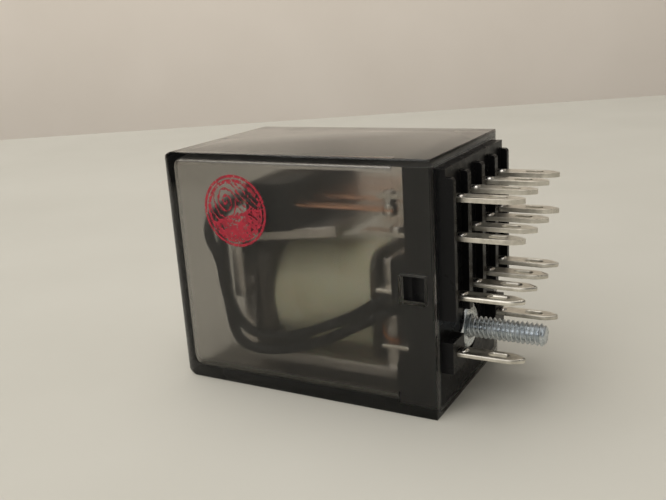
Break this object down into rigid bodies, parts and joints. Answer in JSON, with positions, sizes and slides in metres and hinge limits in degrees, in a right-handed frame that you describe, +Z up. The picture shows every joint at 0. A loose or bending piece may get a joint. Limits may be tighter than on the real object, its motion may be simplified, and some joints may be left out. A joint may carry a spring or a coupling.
{
  "type": "plug-in power relay",
  "caption": "Miniature plug-in industrial control relay with a smoky clear dust cover, black ribbed base, flat blade terminals and a threaded mounting stud.",
  "frame": {"origin": "centre of the box of the whole relay at the surface it lies on, a narrow long side of the cover", "axes": "+X out along the blades and the mounting stud, +Y across the width of the cover, +Z up from the side it lies on"},
  "size_m": [0.0428, 0.0204, 0.028],
  "materials": {
    "smoky_cover": "clear smoky polycarbonate, polished",
    "black_moulding": "glossy black moulding",
    "tin_plate": "dull tin plate on copper alloy",
    "zinc_plate": "bright zinc plate",
    "plated_steel": "nickel plated soft iron",
    "copper_alloy": "copper alloy spring strip",
    "contact_silver": "silver alloy",
    "phenolic": "dark brown moulding",
    "copper_wire": "enamelled copper wire",
    "cream_tape": "cream polyester tape",
    "black_sleeve": "black flexible sleeve"
  },
  "bodies": {
    "root": {"dust_cover": "smoky_cover", "base": "black_moulding", "blade_nc_1": "tin_plate", "blade_no_1": "tin_plate", "blade_common_1": "tin_plate", "blade_nc_2": "tin_plate", "blade_no_2": "tin_plate", "blade_common_2": "tin_plate", "blade_nc_3": "tin_plate", "blade_no_3": "tin_plate", "blade_common_3": "tin_plate", "blade_nc_4": "tin_plate", "blade_no_4": "tin_plate", "blade_common_4": "tin_plate", "blade_coil_1": "tin_plate", "blade_coil_2": "tin_plate", "mounting_stud": "zinc_plate", "hex_nut": "zinc_plate", "yoke": "plated_steel", "core": "plated_steel", "bobbin": "phenolic", "coil_winding": "copper_wire", "coil_tape": "cream_tape", "hinge_spring": "copper_alloy", "flex_lead_1": "black_sleeve", "flex_lead_2": "black_sleeve", "flex_lead_3": "black_sleeve", "flex_lead_4": "black_sleeve", "coil_lead_1": "copper_wire", "coil_lead_2": "copper_wire", "contact_nc_1": "contact_silver", "contact_no_1": "contact_silver", "contact_nc_2": "contact_silver", "contact_no_2": "contact_silver", "contact_nc_3": "contact_silver", "contact_no_3": "contact_silver", "contact_nc_4": "contact_silver", "contact_no_4": "contact_silver"},
    "armature": {"armature": "plated_steel", "contact_carrier": "black_moulding", "contact_spring_1": "copper_alloy", "contact_spring_2": "copper_alloy", "contact_spring_3": "copper_alloy", "contact_spring_4": "copper_alloy", "moving_contact_1": "contact_silver", "moving_contact_2": "contact_silver", "moving_contact_3": "contact_silver", "moving_contact_4": "contact_silver"}
  },
  "joints": [
    {"name": "armature_hinge", "type": "hinge", "parent": "root", "child": "armature", "pos_m": [-0.0124, 0, 0.0033], "axis": [0, 1, 0], "range_deg": [0, 2.6], "stiffness_Nm_per_rad": 0.02, "springref_deg": -5.73, "deforming": ["hinge_spring", "flex_lead_1", "flex_lead_2", "flex_lead_3", "flex_lead_4"]}
  ]
}
